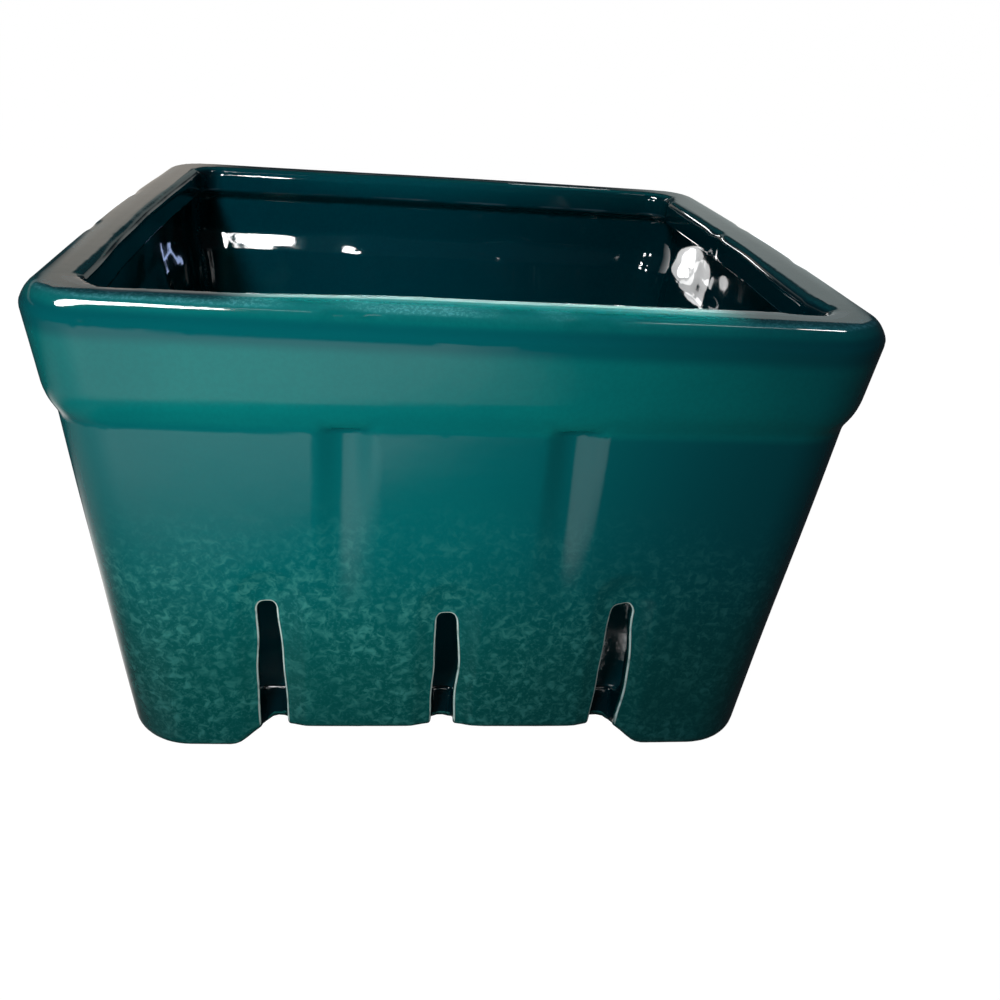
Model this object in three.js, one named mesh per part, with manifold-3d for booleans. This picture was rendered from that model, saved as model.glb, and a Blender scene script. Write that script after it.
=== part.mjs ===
// Square ceramic colander in the form of a berry basket, in millimetres, +Z up.
// The origin is the middle of the plane that the four feet stand on, and the front faces -Y.
// The casting is divided into a floor, four walls, a rim band and four corner feet.
import * as THREE from 'three';
import { mergeVertices } from 'three/addons/utils/BufferGeometryUtils.js';
import Module from 'manifold-3d';

const wasm = await Module();
wasm.setup();

// Overall form
const RIM_WIDTH = 150;
const HEIGHT = 94.2;
const CORNER_RADIUS = 12.5;
const RIM_BOW = 1.3;
const BASE_BOW = 0.5;
const WALL_DRAFT = 6.1;
const WALL_THICKNESS = 4.4;

// Rim band: the thick collar round the top
const BAND_HEIGHT = 21.3;
const BAND_STEP = 2;
const BAND_LOWER_ROUND = 6;
const BAND_DRAFT = 7;
const RIM_OUTER_ROUND = 4;
const RIM_INNER_ROUND = 1.8;
const RIM_TOP_WIDTH = 10.4;
const LIP_HEIGHT = 6;
const LIP_UNDERCUT = 3;
const LIP_UNDERCUT_HEIGHT = 2.4;
const LIP_CORNER_RADIUS = 5;
const LEDGE_HEIGHT = 5;

// Floor and feet
const FOOT_HEIGHT = 5;
const FOOT_INNER_EDGE = 42;
const FOOT_FLARE = 5;
const FOOT_CORNER_RADIUS = 9;
const FOOT_LOWER_ROUND = 2.4;
const FLOOR_THICKNESS = 5;
const FLOOR_LOWER_ROUND = 2;
const FLOOR_FILLET = 5;

// Slots, three to a side, each in a shallow arched dimple. Slots and flutes sit a little left of centre.
const PATTERN_OFFSET = -1;
const SLOT_COUNT = 3;
const SLOT_PITCH = 33.4;
const SLOT_WIDTH = 5.2;
const SLOT_TOP = 36;
const SLOT_SILL_DEPTH = 4;
const DIMPLE_WIDTH = 13;
const DIMPLE_DEPTH = 1;
const DIMPLE_ABOVE_SLOT = 7.5;

// Flutes, hollows between the slots that fade out downwards
const FLUTE_COUNT = 2;
const FLUTE_PITCH = 39.6;
const FLUTE_WIDTH = 12;
const FLUTE_DEPTH = 1.8;
const FLUTE_END_HEIGHT = 39;

// Facets, the least corner radius left inside a fillet, and how far cutters run past a face
const SIDE_STEPS = 8;
const CORNER_STEPS = 6;
const ROUND_STEPS = 5;
const FLARE_STEPS = 6;
const ARCH_STEPS = 10;
const CAP_STEPS = 18;
const CUTTER_STEPS = 72;
const LEAST_RADIUS = 2;
const MARGIN = 6;
const SIDES = 4;
const QUARTER_TURN = Math.PI / 2;

// Heights and half-widths that follow from the sizes above
const BAND_BOTTOM = HEIGHT - BAND_HEIGHT;
const FLOOR_TOP = FOOT_HEIGHT + FLOOR_THICKNESS;
const LIP_HALF = RIM_WIDTH / 2 - RIM_TOP_WIDTH;
const RECESS_HALF = LIP_HALF + LIP_UNDERCUT;
const REACH = RIM_WIDTH / 2 + MARGIN;

const tangent = (degrees) => Math.tan(THREE.MathUtils.degToRad(degrees));

// Half-width of the band's outer face at a height
function bandHalf(z) {
  return RIM_WIDTH / 2 - (HEIGHT - RIM_OUTER_ROUND - z) * tangent(BAND_DRAFT);
}

// Half-width of the walls' outer face at a height
function wallHalf(z) {
  const top = bandHalf(BAND_BOTTOM + BAND_LOWER_ROUND) - BAND_STEP;
  return top - (BAND_BOTTOM - z) * tangent(WALL_DRAFT);
}

// Outward bow of each side at a height
function bowAt(z) {
  return THREE.MathUtils.lerp(BASE_BOW, RIM_BOW, THREE.MathUtils.clamp(z / HEIGHT, 0, 1));
}

// Angles from 0 to a right angle
function quarterAngles() {
  return Array.from({ length: ROUND_STEPS + 1 }, (_, i) => (QUARTER_TURN * i) / ROUND_STEPS);
}

// Points round one level, a square with bowed sides and round corners
function levelPoints({ z, half, radius }) {
  const bow = bowAt(z);
  const edge = half - bow;
  const straight = edge - radius;
  const side = [];
  for (let i = 0; i < SIDE_STEPS; i += 1) {
    const t = (2 * i) / SIDE_STEPS - 1;
    side.push(new THREE.Vector2(edge + bow * (1 - t * t), straight * t));
  }
  for (let i = 0; i < CORNER_STEPS; i += 1) {
    const angle = (QUARTER_TURN * i) / CORNER_STEPS;
    side.push(new THREE.Vector2(Math.cos(angle), Math.sin(angle)).multiplyScalar(radius).addScalar(straight));
  }
  const origin = new THREE.Vector2();
  const points = [];
  for (let turn = 0; turn < SIDES; turn += 1) {
    side.forEach((point) => points.push(point.clone().rotateAround(origin, turn * QUARTER_TURN)));
  }
  return points.map((point) => new THREE.Vector3(point.x, point.y, z));
}

// A closed solid through a stack of levels, lowest first
function loft(levels) {
  const rings = levels.map(levelPoints);
  const count = rings[0].length;
  const points = rings.flat();
  const index = [];
  for (let level = 0; level < rings.length - 1; level += 1) {
    for (let i = 0; i < count; i += 1) {
      const a = level * count + i;
      const b = level * count + ((i + 1) % count);
      index.push(a, b, b + count, a, b + count, a + count);
    }
  }
  const lowCentre = points.push(new THREE.Vector3(0, 0, levels[0].z)) - 1;
  const highCentre = points.push(new THREE.Vector3(0, 0, levels[levels.length - 1].z)) - 1;
  const highRing = (rings.length - 1) * count;
  for (let i = 0; i < count; i += 1) {
    const next = (i + 1) % count;
    index.push(lowCentre, next, i, highCentre, highRing + i, highRing + next);
  }
  const geometry = new THREE.BufferGeometry().setFromPoints(points);
  geometry.setIndex(index);
  return geometry;
}

// Outer face from a lower edge that is rounded, up over the band to the top of the rim
function outerLevels(bottom, lowerRound) {
  const levels = [];
  const lowerHalf = wallHalf(bottom + lowerRound);
  quarterAngles().forEach((angle) => {
    const inset = lowerRound * (1 - Math.sin(angle));
    levels.push({
      z: bottom + lowerRound * (1 - Math.cos(angle)),
      half: lowerHalf - inset,
      radius: CORNER_RADIUS - inset,
    });
  });
  const bandLowerHalf = bandHalf(BAND_BOTTOM + BAND_LOWER_ROUND);
  quarterAngles().forEach((angle) => {
    levels.push({
      z: BAND_BOTTOM + BAND_LOWER_ROUND * (1 - Math.cos(angle)),
      half: bandLowerHalf - BAND_STEP * (1 - Math.sin(angle)),
      radius: CORNER_RADIUS,
    });
  });
  quarterAngles().forEach((angle) => {
    const inset = RIM_OUTER_ROUND * (1 - Math.cos(angle));
    levels.push({
      z: HEIGHT - RIM_OUTER_ROUND * (1 - Math.sin(angle)),
      half: RIM_WIDTH / 2 - inset,
      radius: CORNER_RADIUS - inset,
    });
  });
  return levels;
}

// Inside of the basket: filleted floor, wall, ledge, recess, undercut and lip
function cavityLevels() {
  const wallRadius = CORNER_RADIUS - WALL_THICKNESS;
  const recessRadius = LIP_CORNER_RADIUS + LIP_UNDERCUT;
  const insideHalf = (z) => wallHalf(z) - WALL_THICKNESS;
  const filletTop = insideHalf(FLOOR_TOP + FLOOR_FILLET);
  const levels = [];
  quarterAngles().forEach((angle) => {
    const inset = FLOOR_FILLET * (1 - Math.sin(angle));
    const z = FLOOR_TOP + FLOOR_FILLET * (1 - Math.cos(angle));
    levels.push({ z, half: filletTop - inset, radius: Math.max(wallRadius - inset, LEAST_RADIUS) });
  });
  levels.unshift({ ...levels[0], z: FLOOR_TOP - MARGIN });
  levels.push({ z: BAND_BOTTOM, half: insideHalf(BAND_BOTTOM), radius: wallRadius });
  levels.push({ z: BAND_BOTTOM + LEDGE_HEIGHT, half: RECESS_HALF, radius: recessRadius });
  const undercutTop = HEIGHT - LIP_HEIGHT;
  levels.push({ z: undercutTop - LIP_UNDERCUT_HEIGHT, half: RECESS_HALF, radius: recessRadius });
  levels.push({ z: undercutTop, half: LIP_HALF, radius: LIP_CORNER_RADIUS });
  quarterAngles().forEach((angle) => {
    const outset = RIM_INNER_ROUND * (1 - Math.cos(angle));
    levels.push({
      z: HEIGHT - RIM_INNER_ROUND * (1 - Math.sin(angle)),
      half: LIP_HALF + outset,
      radius: LIP_CORNER_RADIUS + outset,
    });
  });
  levels.push({ ...levels[levels.length - 1], z: HEIGHT + MARGIN });
  return levels;
}

// Manifold solid of a closed geometry
function solid(geometry) {
  const bare = geometry.clone();
  bare.deleteAttribute('normal');
  bare.deleteAttribute('uv');
  const merged = mergeVertices(bare);
  const mesh = new wasm.Mesh({
    numProp: 3,
    vertProperties: new Float32Array(merged.attributes.position.array),
    triVerts: new Uint32Array(merged.index.array),
  });
  return new wasm.Manifold(mesh);
}

// Geometry of a manifold solid
function geometryOf(body) {
  const mesh = body.getMesh();
  const geometry = new THREE.BufferGeometry();
  geometry.setAttribute('position', new THREE.BufferAttribute(mesh.vertProperties, 3));
  geometry.setIndex(new THREE.BufferAttribute(mesh.triVerts, 1));
  geometry.computeVertexNormals();
  return geometry;
}

// Everything between two heights
function slab(low, high) {
  const box = new THREE.BoxGeometry(2 * REACH, 2 * REACH, high - low);
  return solid(box.translate(0, 0, (low + high) / 2));
}

// Everything in the quarter of the plan that faces -Y
function frontQuarter() {
  const plan = new THREE.Shape([
    new THREE.Vector2(0, 0),
    new THREE.Vector2(-REACH, -REACH),
    new THREE.Vector2(REACH, -REACH),
  ]);
  return solid(new THREE.ExtrudeGeometry(plan, { depth: HEIGHT, bevelEnabled: false }));
}

// Places of repeated features across one side
function across(count, pitch) {
  return Array.from({ length: count }, (_, i) => PATTERN_OFFSET + (i - (count - 1) / 2) * pitch);
}

// Slot cutter in the front side: an arched opening with a sill that slopes down and outwards
function slotCutter(x) {
  const half = SLOT_WIDTH / 2;
  const face = new THREE.Shape();
  face.moveTo(x - half, -MARGIN);
  face.lineTo(x + half, -MARGIN);
  face.lineTo(x + half, SLOT_TOP - half);
  face.absarc(x, SLOT_TOP - half, half, 0, Math.PI, false);
  face.closePath();
  const arched = new THREE.ExtrudeGeometry(face, { depth: REACH, bevelEnabled: false, curveSegments: ARCH_STEPS });
  arched.rotateX(QUARTER_TURN);
  const outside = REACH + MARGIN;
  const sillOuter = wallHalf(FOOT_HEIGHT) - SLOT_SILL_DEPTH;
  const sillInner = wallHalf(FLOOR_TOP) - WALL_THICKNESS - FLOOR_FILLET;
  const within = sillInner - MARGIN;
  const side = new THREE.Shape([
    new THREE.Vector2(outside, -MARGIN),
    new THREE.Vector2(outside, SLOT_TOP + MARGIN),
    new THREE.Vector2(within, SLOT_TOP + MARGIN),
    new THREE.Vector2(within, FLOOR_TOP),
    new THREE.Vector2(sillInner, FLOOR_TOP),
    new THREE.Vector2(sillOuter, FOOT_HEIGHT),
    new THREE.Vector2(sillOuter, -MARGIN),
  ]);
  const stepped = new THREE.ExtrudeGeometry(side, { depth: SLOT_WIDTH + MARGIN, bevelEnabled: false });
  stepped.rotateX(QUARTER_TURN).rotateZ(-QUARTER_TURN);
  stepped.translate(x + (SLOT_WIDTH + MARGIN) / 2, 0, 0);
  return solid(arched).intersect(solid(stepped));
}

// Radius of the round cutter that leaves a hollow of a width and depth in a flat face
function hollowRadius(width, depth) {
  return ((width * width) / 4 + depth * depth) / (2 * depth);
}

// Dimple cutter: a capsule laid against the wall, whose round end makes the arch
function dimpleCutter(x) {
  const radius = hollowRadius(DIMPLE_WIDTH, DIMPLE_DEPTH);
  const top = SLOT_TOP + DIMPLE_ABOVE_SLOT - DIMPLE_WIDTH / 2;
  const length = top + radius;
  const capsule = new THREE.CapsuleGeometry(radius, length, CAP_STEPS, CUTTER_STEPS);
  capsule.rotateX(QUARTER_TURN).translate(0, 0, -length / 2);
  capsule.rotateX(THREE.MathUtils.degToRad(WALL_DRAFT));
  return solid(capsule.translate(x, DIMPLE_DEPTH - radius - wallHalf(top), top));
}

// Flute cutter: a cylinder that leans less than the wall, so that its bite fades out downwards
function fluteCutter(x) {
  const radius = hollowRadius(FLUTE_WIDTH, FLUTE_DEPTH);
  const high = new THREE.Vector3(x, -(wallHalf(BAND_BOTTOM) - FLUTE_DEPTH + radius), BAND_BOTTOM);
  const low = new THREE.Vector3(x, -(wallHalf(FLUTE_END_HEIGHT) + radius), FLUTE_END_HEIGHT);
  const axis = high.clone().sub(low);
  const cylinder = new THREE.CylinderGeometry(radius, radius, 2 * axis.length(), CUTTER_STEPS);
  cylinder.applyQuaternion(
    new THREE.Quaternion().setFromUnitVectors(new THREE.Vector3(0, 1, 0), axis.clone().normalize()),
  );
  return solid(cylinder.translate(high.x, high.y, high.z));
}

// The same body turned to each of the four sides or corners
function onEachSide(body) {
  return Array.from({ length: SIDES }, (_, i) => body.rotate([0, 0, (i * 360) / SIDES]));
}

function cut(body, cutters) {
  return cutters.reduce((rest, cutter) => rest.subtract(cutter), body);
}

// Pad round the front left corner, which flares out in an S-curve up to the underside of the floor
function footPad() {
  const centre = RIM_WIDTH / 2;
  const level = (z) => {
    const flare = FOOT_FLARE * THREE.MathUtils.smoothstep(z, 0, FOOT_HEIGHT);
    return { z, half: centre - FOOT_INNER_EDGE + flare, radius: FOOT_CORNER_RADIUS };
  };
  const heights = Array.from({ length: FLARE_STEPS + 1 }, (_, i) => (FOOT_HEIGHT * i) / FLARE_STEPS);
  heights.push(FLOOR_TOP);
  return solid(loft(heights.map(level)).translate(-centre, -centre, 0));
}

function glaze() {
  return new THREE.MeshStandardMaterial({ color: 0x0b5553, roughness: 0.12, metalness: 0 });
}

function mesh(name, geometry) {
  const piece = new THREE.Mesh(geometry, glaze());
  piece.name = name;
  return piece;
}

const slots = across(SLOT_COUNT, SLOT_PITCH).map(slotCutter);
const dimples = across(SLOT_COUNT, SLOT_PITCH).map(dimpleCutter);
const flutes = across(FLUTE_COUNT, FLUTE_PITCH).map(fluteCutter);
const cavity = solid(loft(cavityLevels()));
const footed = solid(loft(outerLevels(0, FOOT_LOWER_ROUND)));
const raised = solid(loft(outerLevels(FOOT_HEIGHT, FLOOR_LOWER_ROUND)));
const corner = footed.intersect(footPad());

function rimCollar() {
  return mesh('rim_collar', geometryOf(footed.subtract(cavity).intersect(slab(BAND_BOTTOM, HEIGHT + MARGIN))));
}

function wallGeometry() {
  const shell = raised.subtract(cavity).intersect(slab(FLOOR_TOP, BAND_BOTTOM));
  return geometryOf(cut(shell.intersect(frontQuarter()), [...slots, ...dimples, ...flutes]));
}

function baseFloor() {
  const overFeet = onEachSide(corner.intersect(slab(FOOT_HEIGHT, FOOT_HEIGHT + FLOOR_LOWER_ROUND)));
  const whole = overFeet.reduce((sum, part) => sum.add(part), raised.intersect(slab(FOOT_HEIGHT, FLOOR_TOP)));
  return mesh('base_floor', geometryOf(cut(whole, [...slots, ...dimples].flatMap(onEachSide))));
}

function footGeometry() {
  return geometryOf(corner.intersect(slab(-MARGIN, FOOT_HEIGHT)));
}

// Copies of one corner or side piece, each turned to its place about the vertical axis
function turned(names, geometry) {
  const group = new THREE.Group();
  names.forEach((name, i) => {
    const piece = mesh(name, geometry);
    piece.rotation.z = i * QUARTER_TURN;
    group.add(piece);
  });
  return group;
}

const colander = new THREE.Group();
colander.add(
  rimCollar(),
  turned(['front_wall', 'right_wall', 'back_wall', 'left_wall'], wallGeometry()),
  baseFloor(),
  turned(['foot_front_left', 'foot_front_right', 'foot_back_right', 'foot_back_left'], footGeometry()),
);

export default colander;
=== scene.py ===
"""Looks of the square ceramic colander: one glazed skin, cut into the same ten regions as the CAD nodes.

The skin is a signed distance form in millimetres. It is meshed on a lattice, drawn onto the form, made
finer at the slots, and divided along the seams between the nodes. The normals come from the form, so no
seam shows.
"""

import math

import bpy
import numpy as np
from mathutils import Matrix, Vector
from mathutils.geometry import tessellate_polygon


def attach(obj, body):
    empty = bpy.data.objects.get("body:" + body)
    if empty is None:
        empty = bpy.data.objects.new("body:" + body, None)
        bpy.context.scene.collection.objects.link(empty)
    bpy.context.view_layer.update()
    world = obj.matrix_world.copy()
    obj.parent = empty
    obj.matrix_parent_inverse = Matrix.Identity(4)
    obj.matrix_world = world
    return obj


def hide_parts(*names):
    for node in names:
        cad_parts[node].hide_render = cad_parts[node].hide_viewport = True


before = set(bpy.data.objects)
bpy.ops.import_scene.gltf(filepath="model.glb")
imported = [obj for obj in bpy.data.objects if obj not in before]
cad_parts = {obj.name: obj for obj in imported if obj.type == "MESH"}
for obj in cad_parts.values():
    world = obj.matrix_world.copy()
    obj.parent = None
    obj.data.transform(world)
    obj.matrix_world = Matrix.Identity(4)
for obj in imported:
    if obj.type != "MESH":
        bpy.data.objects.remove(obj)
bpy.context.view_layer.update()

MM = 0.001

# Overall form, in millimetres, as in the CAD source
RIM_HALF = 74.85
HEIGHT = 94.08
CORNER_RADIUS = 12.5
RIM_BOW = 1.3
BASE_BOW = 0.5
WALL_DRAFT = math.radians(6.1)
BAND_DRAFT = math.radians(7)
WALL_TOP_HALF = 71.55
WALL_THICKNESS = 4.4
CREASE_HEIGHT = 72.85
CREASE_TILT = 0.018
BAND_STEP = 2.3
BAND_LOWER_ROUND = 5.6
CREASE_FILLET = 0.9
RIM_TOP_HALF_HEIGHT = 90.2
RIM_OUTER_ROUND = 4.0
RIM_INNER_ROUND = 1.9
LIP_HALF = 64.7
LIP_LOW = 88.2
RECESS_HALF = 68.2
RECESS_HIGH = 85.4
LEDGE_LOW = 71.5
LEDGE_HIGH = 77.5
FLOOR_TOP = 10.0
FLOOR_LOW = 5.0
FLOOR_FILLET = 5.0
INNER_CORNER = 8.1
LIP_CORNER = 5.5
LOWER_ROUND = 2.3

# Rim: its top is crowned towards the outer edge, and a little uneven
CROWN = 0.022
CROWN_START = 68.3
CROWN_MOST = 0.9
TOP_WAVE = 0.10
TOP_WAVE_LENGTHS = (21, 26)
BAND_WAVE_SOFT = 0.05

# Mouth: its edge strays from the plain lip on the front and on the right
FRONT_EDGE_IN = 1.6
FRONT_LEFT_EDGE_OUT = 3.0
RIGHT_EDGE_IN = 1.7
RIGHT_EDGE_WAVE = 0.15
RIGHT_EDGE_NICK = 0.55
NICK_PLACE = 9
NICK_HALF = 3.5
RIGHT_WAVE_LENGTH = 6.5

# Where along x or y those strays begin or end, and the length over which they do
FRONT_ZONE = (52, 11)
FRONT_LEFT_ZONE = (8, 34)
LEFT_END = (-64, 8)
FRONT_CORNERS = (62, 10)
RIGHT_ZONE = (50, 8)
RIGHT_CORNERS = (60, 10)

# Feet: where the pads end towards the middle of a side, and how far they flare up to the floor
PAD_EDGE_LEFT = 43.2
PAD_EDGE_RIGHT = 41.4
FLARE_LEFT = 8.6
FLARE_RIGHT = 8.8
PAD_ROUND = 9.0
PAD_LEVEL = 0.02
PAD_OUTSIDE = 76
UNDERSIDE_SCALE = 0.8

# Slots: place and width along the side, and height of the arch, measured on the front
SLOT_PLACES = (-34.5, -1.1, 32.3)
SLOT_WIDTHS = (4.8, 4.5, 5.3)
SLOT_TOPS = (36.2, 34.0, 36.4)
SLOT_TAPERS = (0.65, 0.5, 0.3)
SLOT_LEANS = (0.0, 0.0, 0.02)
SLOT_WIDENINGS = (0.4, 0.4, 1.0)
SLOT_MIDDLE = 20
SLOT_SWAY = 0.16
SLOT_RIPPLE = 0.07
SLOT_SWELL = 0.14
SLOT_WIDENS = 0.012
ARCH_RIPPLE = 0.16
SLOT_CORNER = 1.9
SLOT_ROUND = 0.5
SLOT_REACH = 14
FAR_AWAY = 50.0
SILL_OUT = 60.4
SILL_SLOPE = (0.7164, 0.6977)
SILL_ROUND = 0.8
DIMPLE_HALF = 6.2
DIMPLE_DEPTH = 1.25
DIMPLE_ABOVE = 7.5
DIMPLE_SOFT = 0.16
FLUTE_PLACES = (-20.7, 18.8)
FLUTE_HALF = 5.8
FLUTE_DEPTH = 1.9
FLUTE_END = 27.0
BUMP_DEPTH = 0.8
BUMP_HALF = 6.5
BUMP_RISE = 25
BUMP_FADE = 8
INNER_BOW_GAIN = 0.6

# Unevenness of a cast wall
OUTER_WAVE = 0.10
INNER_WAVE = 0.09
FLOOR_WAVE = 0.05
CRUMPLE = 0.045
CRUMPLE_SIDES = (55, 8)
CRUMPLE_FRONT = (-15, 15)
CRUMPLE_FOOT = (68, 5)
CRUMPLE_TOP = (85, 4)

# Mesh
CELL = 1.15
LATTICE_LOW = (-77.0, -77.0, -2.0)
LATTICE_HIGH = (77.0, 77.0, 96.5)
RELAX = 0.5
LONGEST_STEP = 0.8
SLOT_BORDER = 1.6
SLOT_EDGE_LENGTH = 0.55
NORMAL_STEP = 0.12
CURVE_REACH = 1.2


def rmax(a, b, r):
    """Intersection of two forms, with its edge rounded."""
    return np.minimum(-r, np.maximum(a, b)) + np.hypot(np.maximum(a + r, 0), np.maximum(b + r, 0))


def rmin(a, b, r):
    """Union of two forms, with a fillet between them."""
    return -rmax(-a, -b, r)


def smooth(t):
    """S-curve from 0 to 1."""
    t = np.clip(t, 0, 1)
    return t * t * (3 - 2 * t)


def rise(value, start, length):
    """0 up to the start, and 1 from the length beyond it."""
    return smooth((value - start) / length)


def fall(value, end, length):
    """1 up to the length before the end, and 0 from the end on."""
    return smooth((end - value) / length)


def soft_positive(a, k):
    """The positive part of a, with its kink softened over k."""
    return 0.5 * (a + np.sqrt(a * a + k * k))


def waves(p, length, count, seed):
    """Smooth random undulation of about unit height."""
    rng = np.random.default_rng(seed)
    total = np.zeros(len(p))
    for _ in range(count):
        direction = rng.normal(size=3)
        direction /= np.linalg.norm(direction)
        k = 2 * math.pi / (length * rng.uniform(0.7, 1.4))
        total += np.sin(p @ direction * k + rng.uniform(0, 2 * math.pi))
    return total / math.sqrt(count)


def square(x, y, half, radius, bow):
    """Plan distance to a square with bowed sides and round corners."""
    ax, ay = np.abs(x), np.abs(y)
    bow_x = bow * (1 - np.minimum((ay / half) ** 2, 1)) ** 2
    bow_y = bow * (1 - np.minimum((ax / half) ** 2, 1)) ** 2
    qx = ax - bow_x - (half - bow - radius)
    qy = ay - bow_y - (half - bow - radius)
    return np.hypot(np.maximum(qx, 0), np.maximum(qy, 0)) + np.minimum(np.maximum(qx, qy), 0) - radius


def wall_half(z):
    """Half width of the tapered walls at a height."""
    return WALL_TOP_HALF - (CREASE_HEIGHT - z) * math.tan(WALL_DRAFT)


def side_of(x, y):
    """Which side a point is on (0 front, 1 right, 2 back, 3 left), and its place along it and out from it."""
    turned = np.abs(x) > np.abs(y)
    side = np.where(turned, np.where(x > 0, 1, 3), np.where(y > 0, 2, 0))
    s = np.choose(side, (x, y, -x, -y))
    n = np.maximum(np.abs(x), np.abs(y))
    return side, s, n


def slot_form(side, s, n, z):
    """Distance to the nearest slot."""
    nearest = np.full(len(s), FAR_AWAY)
    for i, (place, width, top) in enumerate(zip(SLOT_PLACES, SLOT_WIDTHS, SLOT_TOPS)):
        phase = 1.7 * i + 2.3 * side
        near = np.abs(s - place) < SLOT_REACH
        up = z - SLOT_MIDDLE
        lean = SLOT_LEANS[i] * up
        sway = SLOT_SWAY * np.sin(z / 4.1 + phase) + SLOT_RIPPLE * np.sin(z / 1.9 + 2 * phase)
        swell = SLOT_SWELL * np.sin(z / 5.3 + 1.3 * phase) - SLOT_WIDENS * up * SLOT_WIDENINGS[i]
        taper = SLOT_TAPERS[i] * rise(z, SLOT_MIDDLE, top - SLOT_MIDDLE)
        half = width / 2 + swell - taper
        across = np.abs(s - place - lean - sway + taper) - (half - SLOT_CORNER)
        above = z + ARCH_RIPPLE * np.sin(2.1 * s + 3 * phase) - (top - SLOT_CORNER)
        d = np.hypot(np.maximum(across, 0), np.maximum(above, 0)) + np.minimum(np.maximum(across, above), 0)
        d = d - SLOT_CORNER
        nearest = np.where(near, np.minimum(nearest, d), nearest)
    slope = -((n - SILL_OUT) * SILL_SLOPE[0] + (z - FLOOR_LOW) * SILL_SLOPE[1])
    sill = rmin(SILL_OUT - n, slope, SILL_ROUND)
    return rmax(nearest, sill, SILL_ROUND)


def hollows(s, z):
    """Depth of the flutes and of the dimples round the slots."""
    depth = np.zeros(len(s))
    deepening = rise(z, FLUTE_END, CREASE_HEIGHT - FLUTE_END)
    for place in FLUTE_PLACES:
        depth += FLUTE_DEPTH * deepening * np.maximum(1 - ((s - place) / FLUTE_HALF) ** 2, 0) ** 2
    radius = DIMPLE_HALF**2 / (2 * DIMPLE_DEPTH)
    for place, top in zip(SLOT_PLACES, SLOT_TOPS):
        up = np.maximum(z - (top + DIMPLE_ABOVE - DIMPLE_HALF), 0)
        depth += soft_positive(DIMPLE_DEPTH - ((s - place) ** 2 + up**2) / (2 * radius), DIMPLE_SOFT)
    return depth


def flute_bumps(s, z):
    """Soft swellings inside, behind the flutes, as a cast wall has."""
    bump = np.zeros(len(s))
    for place in FLUTE_PLACES:
        bump += BUMP_DEPTH * np.exp(-(((s - place) / BUMP_HALF) ** 2)) * rise(z, FLUTE_END, BUMP_RISE)
    return bump


def outer_form(p, s):
    """Walls, band and rim from outside, without top and bottom."""
    x, y, z = p.T
    bow = BASE_BOW + (RIM_BOW - BASE_BOW) * np.clip(z / HEIGHT, 0, 1)
    sway = OUTER_WAVE * waves(p, length=38, count=7, seed=3)
    wall = (square(x, y, wall_half(z), CORNER_RADIUS, bow) + hollows(s, z) + sway) * math.cos(WALL_DRAFT)
    band_half = RIM_HALF - np.maximum(RIM_TOP_HALF_HEIGHT - z, 0) * math.tan(BAND_DRAFT)
    band = square(x, y, band_half, CORNER_RADIUS, bow) + soft_positive(sway, BAND_WAVE_SOFT)
    band = band * math.cos(BAND_DRAFT)
    crease = CREASE_HEIGHT + CREASE_TILT * x
    u, v = band / BAND_STEP, (crease - z) / BAND_LOWER_ROUND
    du, dv = np.maximum(u + 1, 0), np.maximum(v + 1, 0)
    length = np.hypot(du, dv)
    g = np.minimum(-1, np.maximum(u, v)) + length
    round_slope = np.hypot(du / BAND_STEP, dv / BAND_LOWER_ROUND) / np.maximum(length, 1e-9)
    flat_slope = np.where(u > v, 1 / BAND_STEP, 1 / BAND_LOWER_ROUND)
    collar = g / np.where(length > 0, round_slope, flat_slope)
    return rmin(wall, collar, CREASE_FILLET)


def top_height(x, y):
    """Level of the rim's top, slightly crowned and a little uneven."""
    reach = np.maximum(np.abs(x), np.abs(y))
    crown = CROWN * np.maximum(reach - CROWN_START, 0) ** 2
    wave = 1 + np.sin(x / TOP_WAVE_LENGTHS[0] + 1) * np.cos(y / TOP_WAVE_LENGTHS[1])
    return HEIGHT - np.minimum(crown, CROWN_MOST) - TOP_WAVE * wave


def bottom_height(x, y):
    """Level of the underside: flat pads at the corners, flaring up in an S-curve to the floor."""
    ax, ay = np.abs(x), np.abs(y)
    edge = np.where(x > 0, PAD_EDGE_RIGHT, PAD_EDGE_LEFT)
    flare = np.where(x > 0, FLARE_RIGHT, FLARE_LEFT)
    half = (PAD_OUTSIDE - edge) / 2 + 6
    centre = edge + half
    qx = np.abs(ax - centre) - (half - PAD_ROUND)
    qy = np.abs(ay - centre) - (half - PAD_ROUND)
    d = np.hypot(np.maximum(qx, 0), np.maximum(qy, 0)) + np.minimum(np.maximum(qx, qy), 0) - PAD_ROUND
    return PAD_LEVEL + (FLOOR_LOW - PAD_LEVEL) * smooth(d / flare)


def mouth_half(x, y):
    """Reach of the mouth at the lip."""
    front = rise(-y, *FRONT_ZONE)
    front_left = rise(-x, *FRONT_LEFT_ZONE) * front * rise(x, *LEFT_END)
    front_edge = -FRONT_EDGE_IN * front * fall(np.abs(x), *FRONT_CORNERS) + FRONT_LEFT_EDGE_OUT * front_left
    nick = RIGHT_EDGE_NICK * np.exp(-(((y - NICK_PLACE) / NICK_HALF) ** 2))
    wave = RIGHT_EDGE_WAVE * np.sin(y / RIGHT_WAVE_LENGTH)
    right = rise(x, *RIGHT_ZONE) * (RIGHT_EDGE_IN + wave - nick)
    right = right * fall(np.abs(y), *RIGHT_CORNERS)
    return LIP_HALF + front_edge - right


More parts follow.
